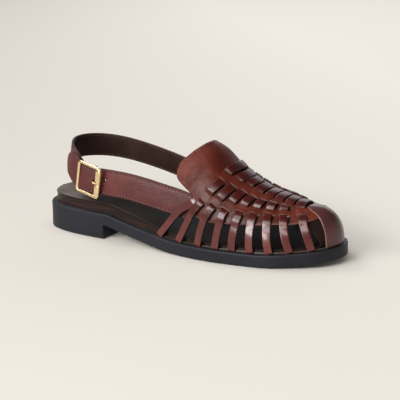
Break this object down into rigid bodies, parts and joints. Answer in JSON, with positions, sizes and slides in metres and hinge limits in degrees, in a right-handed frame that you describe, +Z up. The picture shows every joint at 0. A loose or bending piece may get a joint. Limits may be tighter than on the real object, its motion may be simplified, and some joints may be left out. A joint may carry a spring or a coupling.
{
  "type": "slingback loafer",
  "caption": "Right slingback shoe: woven strip upper with a tongue, toe band and open sides, heel strap and buckled side strap, footbed, flat sole and block heel.",
  "frame": {"origin": "on the ground, under the middle of the shoe's length and width", "axes": "+Y from heel to toe, +X to the outside (lateral side) of this right shoe, +Z up"},
  "size_m": [0.0904, 0.262, 0.0816],
  "materials": {
    "black_rubber": "matt moulded",
    "dark_leather": "satin",
    "brown_leather": "polished",
    "strap_leather": "satin",
    "brass": "polished"
  },
  "bodies": {
    "root": {"outsole": "black_rubber", "heel_block": "black_rubber", "footbed": "dark_leather", "upper": "brown_leather", "side_strap": "strap_leather", "heel_strap": "strap_leather", "buckle_frame": "brass", "buckle_prong": "brass"}
  },
  "joints": []
}
